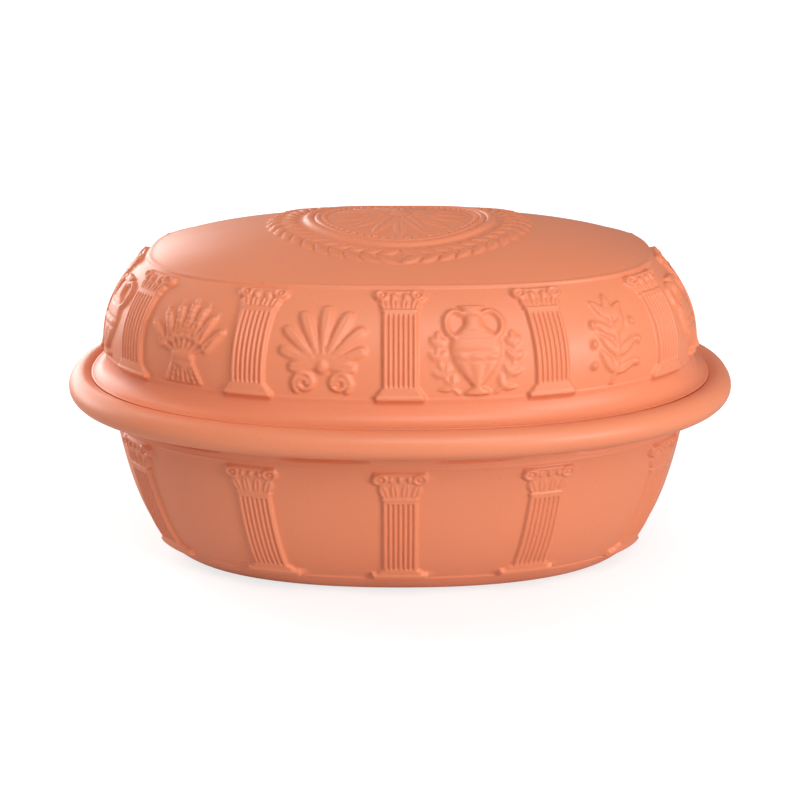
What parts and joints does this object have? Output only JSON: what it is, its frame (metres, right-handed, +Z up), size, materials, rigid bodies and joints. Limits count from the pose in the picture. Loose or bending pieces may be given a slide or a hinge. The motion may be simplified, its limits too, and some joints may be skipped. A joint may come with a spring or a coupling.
{
  "type": "clay roaster",
  "caption": "Oval unglazed terracotta roasting pot with a rolled rim and a domed lift-off lid, both moulded with fluted pilasters; for slow oven roasting.",
  "frame": {"origin": "middle of the foot, on the surface the pot stands on", "axes": "+X along the pot's length, +Z up, the pictured front faces -Y"},
  "size_m": [0.345, 0.245, 0.1807],
  "materials": {
    "terracotta": "smooth unglazed, satin"
  },
  "bodies": {
    "base": {"roaster_base": "terracotta"},
    "lid": {"roaster_lid": "terracotta"}
  },
  "joints": [
    {"name": "lid_lift", "type": "slide", "parent": "base", "child": "lid", "axis": [0, 0, 1], "range_m": [0, 0.22]}
  ]
}
